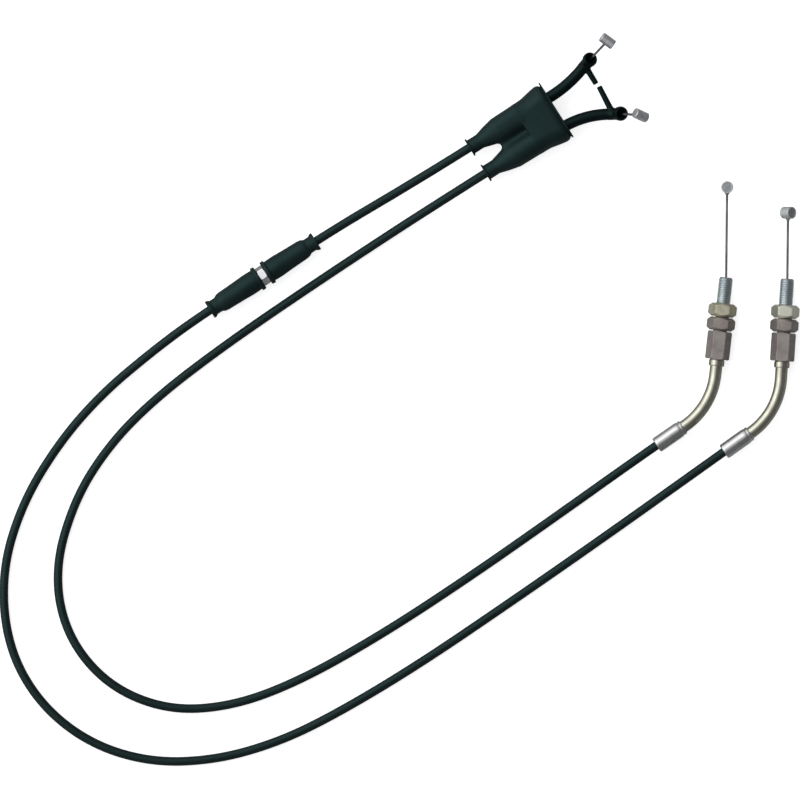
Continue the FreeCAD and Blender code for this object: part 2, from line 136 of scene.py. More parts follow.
SHEEN_TINT = (0.50, 1.0, 0.98, 1)


def rubber(name, dark, light, roughness, grain_mm, shine=0.34):
    """Moulded rubber or plastic: slow clouding of tone and sheen over a fine grain."""
    made, nodes, links, bsdf = shader(name)
    bsdf.inputs["Specular IOR Level"].default_value = shine
    bsdf.inputs["Specular Tint"].default_value = SHEEN_TINT
    clouds = local_noise(nodes, links, 60, detail=5.0, rough=0.6)
    links.new(ramp(nodes, links, clouds, dark, light), bsdf.inputs["Base Color"])
    links.new(remap(nodes, links, clouds, roughness[0], roughness[1]), bsdf.inputs["Roughness"])
    grain = local_noise(nodes, links, 2600, detail=3.0)
    waves = local_noise(nodes, links, 320, detail=2.0)
    normal = bump(nodes, links, waves, grain_mm * 3)
    links.new(bump(nodes, links, grain, grain_mm, normal), bsdf.inputs["Normal"])
    return made


WORN_FROM, WORN_TO = 0.53, 0.62


def metal(name, dark, light, roughness, lines=(1, 1, 1), cloud=160, depth_mm=0.004, edge=None):
    """Plated metal: patchy tone, tool lines stretched along or round the axis, and worn edges."""
    made, nodes, links, bsdf = shader(name)
    bsdf.inputs["Metallic"].default_value = 1.0
    clouds = local_noise(nodes, links, cloud, detail=6.0, rough=0.65)
    tone = ramp(nodes, links, clouds, dark, light)
    if edge is not None:
        shape = nodes.new("ShaderNodeNewGeometry")
        worn = nodes.new("ShaderNodeMapRange")
        worn.inputs["From Min"].default_value = WORN_FROM
        worn.inputs["From Max"].default_value = WORN_TO
        links.new(shape.outputs["Pointiness"], worn.inputs["Value"])
        mix = nodes.new("ShaderNodeMix")
        mix.data_type = "RGBA"
        links.new(worn.outputs["Result"], mix.inputs["Factor"])
        links.new(tone, mix.inputs[6])
        mix.inputs[7].default_value = (*edge, 1)
        tone = mix.outputs[2]
    links.new(tone, bsdf.inputs["Base Color"])
    links.new(remap(nodes, links, clouds, roughness[1], roughness[0]), bsdf.inputs["Roughness"])
    scratch = local_noise(nodes, links, 900, stretch=lines, detail=4.0, rough=0.7)
    links.new(bump(nodes, links, scratch, depth_mm), bsdf.inputs["Normal"])
    return made


ROUND = (4, 0.25, 0.25)
ALONG = (0.1, 3, 3)
BOOT_RUBBER = rubber("boot_rubber", (0.006, 0.012, 0.012), (0.012, 0.021, 0.021),
                     (0.42, 0.60), 0.006)
ELBOW_PLASTIC = rubber("elbow_plastic", (0.002, 0.004, 0.004), (0.004, 0.008, 0.008),
                       (0.26, 0.38), 0.003, shine=0.18)
JACKET = rubber("cable_jacket", (0.007, 0.012, 0.012), (0.013, 0.020, 0.020), (0.36, 0.50), 0.003)
STRAND = metal("wire_strand", (0.16, 0.16, 0.16), (0.32, 0.32, 0.32), (0.30, 0.50))
# Darkened strand material: painted shade on the bare wire where it lies in the elbow's cup.
PAINTED_CUP_SHADE = metal("painted_cup_shade_strand", (0.015, 0.018, 0.018), (0.04, 0.045, 0.045), (0.45, 0.60))
GRIP_ZINC = metal("grip_zinc", (0.58, 0.59, 0.61), (0.95, 0.96, 0.97), (0.34, 0.55), cloud=420,
                  depth_mm=0.05)
CARB_ZINC = metal("carb_zinc", (0.66, 0.68, 0.68), (0.86, 0.88, 0.88), (0.48, 0.66), cloud=500,
                  depth_mm=0.02)
SOLDER = metal("solder", (0.34, 0.36, 0.38), (0.56, 0.59, 0.62), (0.42, 0.60), cloud=700,
               depth_mm=0.03)
STEEL = metal("plain_steel", (0.42, 0.42, 0.42), (0.60, 0.60, 0.60), (0.25, 0.40), ROUND)
ADJUSTER_ZINC = metal("adjuster_zinc", (0.60, 0.60, 0.61), (0.80, 0.80, 0.80), (0.24, 0.38))
FERRULE = metal("ferrule_nickel", (0.55, 0.55, 0.54), (0.70, 0.70, 0.69), (0.16, 0.30), ALONG)
TUBE = metal("tube_nickel", (0.44, 0.43, 0.35), (0.60, 0.59, 0.49), (0.14, 0.26), ALONG)
BARREL = metal("barrel_steel", (0.36, 0.315, 0.30), (0.50, 0.46, 0.44), (0.50, 0.64), ROUND,
               edge=(0.62, 0.60, 0.57))
STUD = metal("stud_zinc", (0.50, 0.56, 0.58), (0.68, 0.75, 0.77), (0.30, 0.44), ROUND)
NUT_BRIGHT = metal("nut_bright", (0.80, 0.81, 0.66), (0.90, 0.91, 0.78), (0.32, 0.46),
                   edge=(0.95, 0.95, 0.92))
NUT_PALE = metal("nut_pale", (0.52, 0.49, 0.34), (0.76, 0.73, 0.60), (0.44, 0.58), cloud=240,
                 edge=(0.86, 0.84, 0.74))
NUT_DULL = metal("nut_dull", (0.33, 0.29, 0.27), (0.50, 0.45, 0.42), (0.46, 0.60),
                 edge=(0.60, 0.57, 0.54))


# ---- cords: the three runs of casing ----

CASING_D = 0.005


def casing(name, points, length, body, *stands_for):
    """A cord through points (metres), in place of the CAD's jacket, conduit and liner."""
    curve = bpy.data.curves.new(name, "CURVE")
    curve.dimensions = "3D"
    curve.bevel_depth = CASING_D / 2
    curve.bevel_resolution = 8
    curve.resolution_u = 24
    curve.use_fill_caps = True
    line = curve.splines.new("NURBS")
    line.points.add(len(points) - 1)
    for p, at in zip(line.points, points):
        p.co = (*at, 1.0)
    line.order_u = 3
    line.use_endpoint_u = True
    made = bpy.data.objects.new(name, curve)
    bpy.context.scene.collection.objects.link(made)
    curve.materials.append(JACKET)
    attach(made, body)
    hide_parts(*stands_for)


casing("pull_upper_casing", [
    (0.00599, 0.06972, 0.00900), (-0.02529, 0.04995, 0.00900), (-0.06010, 0.02880, 0.00630),
    (-0.09518, 0.00810, 0.00725), (-0.12286, -0.00988, 0.00725)],
    0.1515, "cable_set", "pull_upper_jacket", "pull_upper_conduit", "pull_upper_liner")
casing("pull_lower_casing", [
    (-0.15053, -0.02785, 0.00725), (-0.17318, -0.04255, 0.00725), (-0.1972, -0.0605, 0.0040),
    (-0.2248, -0.0836, 0.0025), (-0.2486, -0.1106, 0.0025), (-0.2699, -0.1453, 0.0025),
    (-0.2816, -0.1844, 0.0025), (-0.2784, -0.2252, 0.0025), (-0.2612, -0.2574, 0.0025),
    (-0.2329, -0.2804, 0.0025), (-0.1982, -0.2913, 0.0025), (-0.1619, -0.2901, 0.0025),
    (-0.1271, -0.2804, 0.0025), (-0.0946, -0.2648, 0.0025), (-0.0482, -0.2371, 0.0025),
    (0.0066, -0.1999, 0.0025), (0.0596, -0.1630, 0.0025), (0.10662, -0.12949, 0.0070),
    (0.13512, -0.10916, 0.0070)],
    0.745, "pull_lower_run", "pull_lower_jacket", "pull_lower_conduit", "pull_lower_liner")
casing("return_casing", [
    (0.01502, 0.05544, 0.00900), (-0.02049, 0.03300, 0.00900), (-0.0625, 0.0063, 0.0035),
    (-0.1175, -0.0302, 0.0025), (-0.1605, -0.0599, 0.0025), (-0.1960, -0.0873, 0.0025),
    (-0.2213, -0.1131, 0.0025), (-0.2406, -0.1437, 0.0025), (-0.2519, -0.1830, 0.0025),
    (-0.2455, -0.2192, 0.0025), (-0.2225, -0.2478, 0.0025), (-0.1887, -0.2620, 0.0025),
    (-0.1523, -0.2599, 0.0025), (-0.1142, -0.2457, 0.0025), (-0.0672, -0.2191, 0.0025),
    (-0.0174, -0.1864, 0.0025), (0.0376, -0.1478, 0.0025), (0.06860, -0.12562, 0.0070),
    (0.09734, -0.10565, 0.0070)],
    0.806, "cable_set", "return_jacket", "return_conduit", "return_liner")


# ---- building in millimetres ----

def place(origin, along, up=(0, 0, 1)):
    """A frame at origin (metres) whose x runs along and whose z is as near up as it can be."""
    x = Vector(along).normalized()
    y = Vector(up).cross(x).normalized()
    made = Matrix((x, y, x.cross(y))).transposed().to_4x4()
    made.translation = origin
    return made


def shifted(at, x, y=0.0):
    return at @ Matrix.Translation(Vector((x, y, 0.0)) * MM)


class Shell:
    """Vertices and faces in millimetres, gathered from several surfaces."""

    def __init__(self):
        self.points = []
        self.faces = []
        self.slots = []

    def add(self, points, faces, slot=0):
        base = len(self.points)
        self.points.extend(tuple(p) for p in points)
        self.faces.extend(tuple(i + base for i in f) for f in faces)
        self.slots.extend([slot] * len(faces))

    def piece(self, name, at, materials, smooth_deg=35.0):
        """The object, in its frame, with edges sharper than smooth_deg kept crisp."""
        mesh = bpy.data.meshes.new(name)
        mesh.from_pydata([[c * MM for c in p] for p in self.points], [], self.faces)
        mesh.polygons.foreach_set("material_index", self.slots)
        for m in materials:
            mesh.materials.append(m)
        mesh.shade_smooth()
        mesh.set_sharp_from_angle(angle=math.radians(smooth_deg))
        mesh.update()
        made = bpy.data.objects.new(name, mesh)
        bpy.context.scene.collection.objects.link(made)
        made.matrix_world = at
        return made


def fillet(corners, closed=True, steps=4):
    """A profile whose (x, r, radius) corners are rounded by arcs; a corner without radius stays."""
    made = []
    count = len(corners)
    for i, corner in enumerate(corners):
        here = Vector(corner[:2])
        if len(corner) < 3 or (not closed and i in (0, count - 1)):
            made.append(here)
            continue
        a = Vector(corners[i - 1][:2]) - here
        b = Vector(corners[(i + 1) % count][:2]) - here
        half = a.angle(b) / 2
        reach = min(corner[2] / math.tan(half), 0.49 * a.length, 0.49 * b.length)
        a.normalize()
        b.normalize()
        centre = here + (a + b).normalized() * (reach / math.cos(half))
        first = here + a * reach - centre
        last = here + b * reach - centre
        start = math.atan2(first.y, first.x)
        turn = (math.atan2(last.y, last.x) - start + math.pi) % (2 * math.pi) - math.pi
        for k in range(steps + 1):
            angle = start + turn * k / steps
            made.append(centre + Vector((math.cos(angle), math.sin(angle))) * first.length)
    return made


def dense(profile, step, closed=True):
    """The profile with its runs divided to at most step."""
    made = []
    pairs = list(zip(profile, profile[1:] + profile[:1]))
    for a, b in pairs if closed else pairs[:-1]:
        parts = max(1, math.ceil((b - a).length / step))
        made.extend(a.lerp(b, k / parts) for k in range(parts))
    return made if closed else made + [profile[-1]]


def turned(profile, sides=96, shape=None, closed=True):
    """A profile of (x, r) turned about x. shape(x, r, angle) may change a radius."""
    points = []
    for x, r in profile:
        for k in range(sides):
            angle = 2 * math.pi * k / sides
            radius = shape(x, r, angle) if shape else r
            points.append((x, radius * math.cos(angle), radius * math.sin(angle)))
    rings = len(profile)
    faces = []
    for i in range(rings if closed else rings - 1):
        a = i * sides
        b = (i + 1) % rings * sides
        for k in range(sides):
            n = (k + 1) % sides
            faces.append((a + k, a + n, b + n, b + k))
    if not closed:
        faces.append(tuple(range(sides))[::-1])
        faces.append(tuple(range((rings - 1) * sides, rings * sides)))
    return points, faces


def soft_min(a, b, k):
    """The smaller of two numbers, blended over k."""
    h = min(max(0.5 + 0.5 * (b - a) / k, 0.0), 1.0)
    return b + (a - b) * h - k * h * (1 - h)


def hexagon(flats, edge=0.25):
    """A shape for turned(): a hexagon with two flats facing up and down, its edges softened."""
    def shape(x, r, angle):
        fold = abs(angle % (math.pi / 3) - math.pi / 6)
        side = soft_min(flats / 2 / math.cos(fold), flats / 2 / math.cos(math.pi / 3 - fold), edge)
        return soft_min(r, side, edge)
    return shape


CHAMFER_DEG = 38


def hex_body(flats, x0, x1, chamfer, bore, sides=144):
    """A hexagonal bar or nut with a turned chamfer at both ends, bored through."""
    corner = flats / math.sqrt(3) + 0.3
    drop = (corner - chamfer) * math.tan(math.radians(CHAMFER_DEG))
    outline = fillet([(x0, bore), (x0, chamfer, 0.3), (x0 + drop, corner), (x1 - drop, corner),
                      (x1, chamfer, 0.3), (x1, bore)])
    plain = hexagon(flats)
    limit = bore + 0.3

    def shape(x, r, angle):
        return r if r < limit else plain(x, r, angle)
    return turned(dense(outline, 0.35), sides, shape)


def thread(pitch, depth, crest):
    """A shape for turned(): a single right-hand thread with rounded crests and roots."""
    def shape(x, r, angle):
        fall = 0.5 + 0.5 * math.cos(2 * math.pi * x / pitch - angle)
        return min(r, crest - depth * fall ** 2)
    return shape


class Pen:
    """A path of straight runs and arcs, as closely spaced points in the piece's millimetres."""

    def __init__(self, start, along, step=1.0):
        self.at = Vector(start)
        self.along = Vector(along).normalized()
        self.step = step
        self.points = [self.at.copy()]

    def ahead(self, length):
        parts = max(1, math.ceil(length / self.step))
        for _ in range(parts):
            self.at = self.at + self.along * (length / parts)
            self.points.append(self.at.copy())

    def swing(self, radius, degrees, about):
        """Turn by the right-hand rule about an axis square to the path."""
        about = Vector(about).normalized() * (1 if degrees > 0 else -1)
        parts = max(2, math.ceil(math.radians(abs(degrees)) * radius / self.step))
        turn = Matrix.Rotation(math.radians(abs(degrees)) / parts, 3, about)
        centre = self.at + about.cross(self.along) * radius
        for _ in range(parts):
            self.at = centre + turn @ (self.at - centre)
            self.along = turn @ self.along
            self.points.append(self.at.copy())


def swept(path, radius, sides):
    """A tube round a path, closed at both ends."""
    points = []
    side = None
    for i, at in enumerate(path):
        along = (path[min(i + 1, len(path) - 1)] - path[max(i - 1, 0)]).normalized()
        if side is None:
            side = along.orthogonal()
        side = (side - along * side.dot(along)).normalized()
        other = along.cross(side)
        for k in range(sides):
            angle = 2 * math.pi * k / sides
            points.append(at + (side * math.cos(angle) + other * math.sin(angle)) * radius)
    faces = []
    for i in range(len(path) - 1):
        for k in range(sides):
            n = (k + 1) % sides
            faces.append((i * sides + k, i * sides + n, (i + 1) * sides + n, (i + 1) * sides + k))
    faces.append(tuple(range(sides))[::-1])
    faces.append(tuple(range((len(path) - 1) * sides, len(path) * sides)))
    return points, faces


def strands(path, radius=0.7, count=6, pitch=8.5, sides=8):
    """A twisted wire: strands round a core, following a path."""
    shell = Shell()
    thin = radius / 3.0
    lay = radius - thin
    shell.add(*swept(path, thin * 1.05, sides))
    runs = [[] for _ in range(count)]
    side = None
    gone = 0.0
    for i, at in enumerate(path):
        along = (path[min(i + 1, len(path) - 1)] - path[max(i - 1, 0)]).normalized()
        gone += (at - path[i - 1]).length if i else 0.0
        if side is None:
            side = along.orthogonal()
        side = (side - along * side.dot(along)).normalized()
        other = along.cross(side)
        for k in range(count):
            angle = 2 * math.pi * (k / count + gone / pitch)
            runs[k].append(at + (side * math.cos(angle) + other * math.sin(angle)) * lay)
    for run in runs:
        shell.add(*swept(run, thin * 1.08, sides))
    return shell


def field_surface(field, low, high, pitch):
    """The surface where field(x, y, z) is zero, negative inside, as quads (surface nets)."""
    axes = [np.arange(a, b + pitch, pitch) for a, b in zip(low, high)]
    value = field(*np.meshgrid(*axes, indexing="ij"))
    inside = value < 0
    cells = [s - 1 for s in value.shape]
    corners = [(i, j, k) for i in (0, 1) for j in (0, 1) for k in (0, 1)]

    def corner(a, c):
        return a[tuple(slice(o, n + o) for o, n in zip(c, cells))]

    full = sum(corner(inside, c).astype(int) for c in corners)
    mixed = (full > 0) & (full < 8)
    index = np.full(mixed.shape, -1)
    index[mixed] = np.arange(mixed.sum())
    total = np.zeros((mixed.sum(), 3))
    hits = np.zeros(mixed.sum())
    for c in corners:
        for axis in (k for k in range(3) if not c[k]):
            d = tuple(1 if k == axis else c[k] for k in range(3))
            a = corner(value, c)[mixed]
            b = corner(value, d)[mixed]
            cross = (a < 0) != (b < 0)
            where = np.tile(np.array(c, float), (len(a), 1))
            where[:, axis] = np.where(cross, a / np.where(cross, a - b, 1.0), 0.0)
            total += where * cross[:, None]
            hits += cross
    points = (np.argwhere(mixed) + total / hits[:, None]) * pitch + np.array(low)
    for _ in range(2):
        at = field(*points.T)
        slope = np.stack([(field(*(points + step).T) - at) / 0.01
                          for step in np.eye(3) * 0.01], 1)
        size = np.maximum((slope ** 2).sum(1), 0.2)
        points -= slope * np.clip(at / size, -pitch / 2, pitch / 2)[:, None]
    faces = []
    for axis in range(3):
        u, v = (axis + 1) % 3, (axis + 2) % 3
        first = np.take(inside, range(inside.shape[axis] - 1), axis)
        second = np.take(inside, range(1, inside.shape[axis]), axis)
        at = np.argwhere(first != second)
        at = at[(at[:, u] > 0) & (at[:, v] > 0) & (at[:, u] < cells[u]) & (at[:, v] < cells[v])]
        eu, ev = np.eye(3, dtype=int)[u], np.eye(3, dtype=int)[v]
        quads = np.stack([index[tuple((at - o).T)] for o in (eu * 0, eu, eu + ev, ev)], 1)
        back = ~first[tuple(at.T)]
        quads[back] = quads[back][:, ::-1]
        faces.append(quads)
    return points.tolist(), np.concatenate(faces).tolist()


def smooth_min(a, b, k):
    """soft_min for arrays."""
    h = np.clip(0.5 + 0.5 * (b - a) / k, 0, 1)
    return b + (a - b) * h - k * h * (1 - h)


def smooth_max(a, b, k):
    return -smooth_min(-a, -b, k)


def finish(piece, body, slot, *stands_for):
    """Ride the piece on its body, in place of the CAD nodes it stands for."""
    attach(piece, body)
    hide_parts(*stands_for)


# ---- dust boot: x out of its mouth, y towards the pull cable's leg ----

BOOT_LEAN = -0.35
boot_mouth = mounts["boot_mouth"]
boot_at = shifted(place(boot_mouth["pos_m"], boot_mouth["axis"]), 0, -BOOT_LEAN)
HOOD_U = (-24, -20.4, -14, -8, -4.4, -2.9, -1.8, -1.0, -0.8, 0, 1)
HOOD_WIDE = (15.7, 15.7, 16.2, 17.4, 18.0, 17.8, 17.2, 16.2, 18.1, 18.1, 18.1)
HOOD_HIGH = (7.8, 7.8, 8.5, 8.9, 9.0, 8.8, 8.3, 7.5, 8.4, 8.4, 8.4)
HOOD_WALL = 1.8
HOOD_END = -19.0
FLANGE_U = -0.9
STEP_U = -20.4
LEG_Y = (8.1, -8.8)
LEG_U = (-53, -52.1, -51.9, -46, -40, -34, -20, -8)
LEG_R = (5.4, 5.4, 4.35, 4.3, 6.0, 7.3, 7.5, 6.4)
LEG_TALL = (1, 1, 1, 1, 1, 1.03, 1.09, 1.09)
LEG_SQUARE = ((2, 2, 2, 2, 2.1, 2.3, 2.8, 2.8), (2, 2, 2, 2, 2, 2, 2.1, 2.1))
BORE_U = (-54, -44, -36, -20, -8)
BORE_R = (3.45, 3.45, 5.3, 5.7, 5.7)
LEG_ENDS = (-53, -10)
WEB_U = (-37.0, -30, -20)
WEB_HIGH = (3.2, 3.4, 3.8)
WEB_HALF = 6


def pill(v, w, wide, high):
    """Distance to a flat oval, wide and high being its half widths."""
    across = np.maximum(np.abs(v) - (wide - high), 0)
    return np.hypot(across, w) - high


def leg(u, v, w, which):
    """Distance to the sleeve round one cable, squarer towards the hood."""
    r = np.interp(u, LEG_U, LEG_R)
    n = np.interp(u, LEG_U, LEG_SQUARE[which])
    side = np.abs(v - LEG_Y[which]) / r
    top = np.abs(w) / (r * np.interp(u, LEG_U, LEG_TALL))
    return ((side ** n + top ** n) ** (1 / n) - 1) * r


def boot_field(u, v, w):
    wide = np.interp(u, HOOD_U, HOOD_WIDE)
    high = np.interp(u, HOOD_U, HOOD_HIGH)
    across = v - np.where(u < FLANGE_U, BOOT_LEAN, 0.0)
    hood = smooth_max(pill(across, w, wide, high), STEP_U - u, 0.9)
    legs = smooth_min(leg(u, v, w, 0), leg(u, v, w, 1), 2.0)
    web = smooth_max(np.abs(w) - np.interp(u, WEB_U, WEB_HIGH),
                     np.abs(v - BOOT_LEAN) - WEB_HALF, 1.0)
    legs = smooth_min(legs, smooth_max(web, WEB_U[0] - u, 1.5), 2.5)
    legs = smooth_max(legs, np.maximum(LEG_ENDS[0] - u, u - LEG_ENDS[1]), 0.3)
    solid = smooth_max(smooth_min(hood, legs, 0.9), u, 0.3)
    hollow = smooth_max(pill(across, w, wide - HOOD_WALL, high - HOOD_WALL), HOOD_END - u, 1.5)
    bore_r = np.interp(u, BORE_U, BORE_R)
    for y in LEG_Y:
        bore = np.maximum(np.hypot(v - y, w) - bore_r, u - LEG_ENDS[1])
        hollow = smooth_min(hollow, bore, 0.6)
    return smooth_max(solid, -hollow, 0.3)


shell = Shell()
shell.add(*field_surface(boot_field, (-54, -19.5, -10), (1.2, 19, 10), 0.38))
boot = shell.piece("rubber_dust_boot", boot_at, [BOOT_RUBBER], 180)
finish(boot, "dust_boot", "boot_rubber", "dust_boot")


# ---- elbows and grip-end wires ----

ELBOW_R = 3.25
TIP_R = 4.05
SOCKET_END = -23.2
RISE_R = 9.8
RISE_DEG = 45.0
PEG_R = (1.8, 1.5)
RIM_SHARE = 0.05
PEG_SHARE = 0.35
EXIT_BORE_R = 1.2
# Strands nearer the elbow's tip than this (mm) get the painted cup shade.
PAINTED_CUP_SHADE_TO = 3.2
Z = Vector((0, 0, 1))


def round_cone(p, a, b, ra, rb):
    """Distance to a capsule whose radius runs from ra at a to rb at b."""
    run = b - a
    t = np.clip(((p - a) @ run) / (run @ run), 0, 1)
    return np.linalg.norm(p - a - t[..., None] * run, axis=-1) - (ra + (rb - ra) * t)


def elbow(name, y, moves, peg_end, wire_axis, mouth_axis, reach, nipple_axis):
    """One elbow with its peg, the bare wire out of its mouth, and the nipple on the wire."""
    pen = Pen((SOCKET_END, y, 0), (1, 0, 0))
    for move in moves:
        if len(move) == 1:
            pen.ahead(move[0])
        else:
            pen.swing(move[0], move[1], Z)
    low = len(pen.points)
    pen.swing(RISE_R, RISE_DEG, pen.along.cross(Z))
    high = len(pen.points)
    pen.ahead(1.5)
    path = pen.points
    shell = Shell()
    socket = fillet([(-34, 3.15), (-34, 4.0, 0.4), (-19, 4.0, 0.4), (-18.4, 3.2), (-22, 1.7),
                     (SOCKET_END, 1.7), (SOCKET_END, 3.15)])
    points, faces = turned(socket, 64)
    shell.add([(x, v + y, w) for x, v, w in points], faces)
    rim = low + round((high - low) * RIM_SHARE)
    shell.add(*swept(path[4:rim + 2], ELBOW_R, 64))
    at = np.array(path[rim])
    facing = np.array((path[rim + 1] - path[rim - 1]).normalized())
    root = np.array(path[low + round((high - low) * PEG_SHARE)])
    inverse = boot_at.inverted()
    peg = np.array(inverse @ Vector(peg_end) / MM)
    exit_line = np.array((inverse.to_3x3() @ wire_axis).normalized())
    mouth = np.array((inverse.to_3x3() @ mouth_axis).normalized())
    tip = np.array(pen.at)
    spine = [np.array(p) for p in path[rim - 2:]]

    def field(u, v, w):
        p = np.stack([u, v, w], -1)
        tube = np.full(u.shape, 99.0)
        for a, b in zip(spine, spine[1:]):
            tube = np.minimum(tube, round_cone(p, a, b, ELBOW_R + 0.12, ELBOW_R + 0.12))
        ball = np.linalg.norm(p - tip, axis=-1) - TIP_R
        body = smooth_min(tube, ball, 1.2)
        reach_peg = peg - root
        along_peg = (p - root) @ (reach_peg / np.linalg.norm(reach_peg))
        pin = smooth_max(round_cone(p, root, peg + reach_peg * 0.1, *PEG_R),
                         along_peg - np.linalg.norm(reach_peg), 0.5)
        body = smooth_max(body, -((p - at) @ facing), 0.25)
        body = smooth_min(body, pin, 0.9)
        out = (p - tip) @ mouth
        aside = np.linalg.norm((p - tip) - out[..., None] * mouth, axis=-1)
        cup = np.interp(out, (-1, 0.5, 2.35, 6.0), (1.6, 1.6, 3.2, 6.5))
        cup = np.maximum((aside - cup) * 0.74, -1.2 - out)
        bore = round_cone(p, tip - exit_line * 2.7, tip + exit_line * 3, EXIT_BORE_R, EXIT_BORE_R)
        return smooth_max(body, -np.minimum(cup, bore), 0.35)

    low_corner = np.minimum.reduce([tip - 5, at - 4.5, peg - 3])
    high_corner = np.maximum.reduce([tip + 5, at + 4.5, peg + 3])
    shell.add(*field_surface(field, low_corner, high_corner, 0.3))
    made = shell.piece(name + "_moulded_elbow", boot_at, [ELBOW_PLASTIC], 60)
    finish(made, "cable_set", "elbow_plastic", name + "_elbow")

    wire_path = [Vector(p) for p in path[-10:]]
    start = wire_path[-1]
    inner_axis = Vector(exit_line)
    count = math.ceil(reach / 0.6)
    wire_path += [start + inner_axis * (reach * k / count) for k in range(1, count + 1)]
    shell = strands(wire_path)
    # Strands in the elbow's cup and just out of its mouth take the painted shade material.
    for i, face in enumerate(shell.faces):
        out = (Vector(shell.points[face[0]]) - start).dot(inner_axis)
        shell.slots[i] = int(out < PAINTED_CUP_SHADE_TO)
    wire = shell.piece(name + "_grip_strands", boot_at, [STRAND, PAINTED_CUP_SHADE], 60)
    mouth_at = boot_at @ (start * MM)
    centre = mouth_at + wire_axis * reach * MM
    body = name + "_grip_end"
    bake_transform(wire)
    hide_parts(name + "_grip_wire")

    end = place(centre, nipple_axis, up=wire_axis)
    outline = fillet([(-4.15, 0.01), (-4.15, 2.85, 0.7), (-3.2, 2.85), (-0.25, 2.85, 0.3),
                      (0, 2.93, 0.3), (0.25, 2.85, 0.3), (3.2, 2.85), (4.15, 2.85, 0.7),
                      (4.15, 0.01)], closed=False)
    shell = Shell()
    shell.add(*turned(dense(outline, 0.4, False), 64, closed=False))
    finish(shell.piece(name + "_grip_barrel", end, [GRIP_ZINC], 50), body, "grip_nipple_zinc",
           name + "_grip_nipple")


def climbing(heading_deg, climb_deg):
    """The direction with this heading in the plane and this climb above it."""
    turn, climb = math.radians(heading_deg), math.radians(climb_deg)
    return Vector((math.cos(climb) * math.cos(turn), math.cos(climb) * math.sin(turn),
                   math.sin(climb)))


elbow("pull", LEG_Y[0], ((24.7,), (72.0, 17.5)), (0.0528, 0.0902, 0.0094),
      climbing(46.6, 45), climbing(46.6, 72), 20.2, (0.800, -0.587, -0.123))
elbow("return", LEG_Y[1], ((3.2,), (60.0, -5.0), (15.9,), (51.4, -25.0)),
      (0.0544, 0.0888, 0.0094), climbing(-5.7, 58.5), climbing(-5.7, 72), 21.4,
      (0.788, -0.356, -0.502))


# ---- inline adjuster: x towards the grip, 0 at the middle of its locknut ----

low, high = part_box("adjuster_locknut")
adjuster_at = place((Vector(low) + Vector(high)) / 2, slides["adjuster_locknut_slide"]["axis"])
COVER_LIP = 2.0
LOCKNUT_FLATS = 10.0
LOCKNUT_HALF = 2.5
LOCKNUT_TURN = -9.7


def adjuster_cover(name, at):
    """A rubber cover over half the adjuster; x runs away from the locknut."""
    outline = fillet([
        (0, 5.95, 0.3), (0, 7.0, 0.8), (2.1, 7.25, 0.6), (2.6, 6.05, 0.4), (4.2, 6.2, 0.8),
        (8, 6.25, 3), (14, 5.95, 4), (24.3, 5.65, 1.0), (26.3, 5.3, 1.0), (27.9, 4.4, 0.8),
        (31.0, 4.4, 0.6), (32.2, 5.25, 0.3), (33.7, 5.4, 0.3), (33.7, 3.35, 0.4), (29, 3.35),
        (26, 4.4), (12, 4.8), (2.6, 4.8), (2.4, 5.9)])
    shell = Shell()
    shell.add(*turned(dense(outline, 0.7), 96))
    finish(shell.piece(name + "_rubber", at, [BOOT_RUBBER], 70), name, "boot_rubber", name)


adjuster_cover("adjuster_boot_upper", shifted(adjuster_at, COVER_LIP))
back = place(adjuster_at @ (Vector((-COVER_LIP, 0, 0)) * MM), -adjuster_at.to_3x3().col[0])
adjuster_cover("adjuster_boot_lower", back)
shell = Shell()
shell.add(*hex_body(LOCKNUT_FLATS, -LOCKNUT_HALF, LOCKNUT_HALF, 4.85, 3.08))
nut_at = adjuster_at @ Matrix.Rotation(math.radians(LOCKNUT_TURN), 4, "X")
finish(shell.piece("adjuster_hexagon", nut_at, [ADJUSTER_ZINC], 40), "adjuster_locknut",
       "adjuster_zinc", "adjuster_locknut")


# ---- carburettor fittings: x out of the stud's tip, y to the inside of the tube's bend ----

MOUNT_TO_TIP = 7.675
STUD_R = 4.0
STUD_BORE_R = 1.6
THREAD_PITCH = 1.25
THREAD_DEPTH = 0.5
NUT_FLATS = 14.0
NUT_LENGTH = 7.5
NUT_TOPS = {"upper": -14.8, "lower": -22.65}
HEX_FLATS = 12.0
HEX = (-46.45, -30.55)
COLLAR = (-50.15, -46.45)
COLLAR_R = 4.4
TUBE_R = 3.5
TUBE_BEND_R = 40.4
TUBE_HELD = 8.45
IN_FERRULE = 4.0
WIRE_TILT = 0.6
WIRE_BEND_R = 45.0
WIRE_FROM = 12


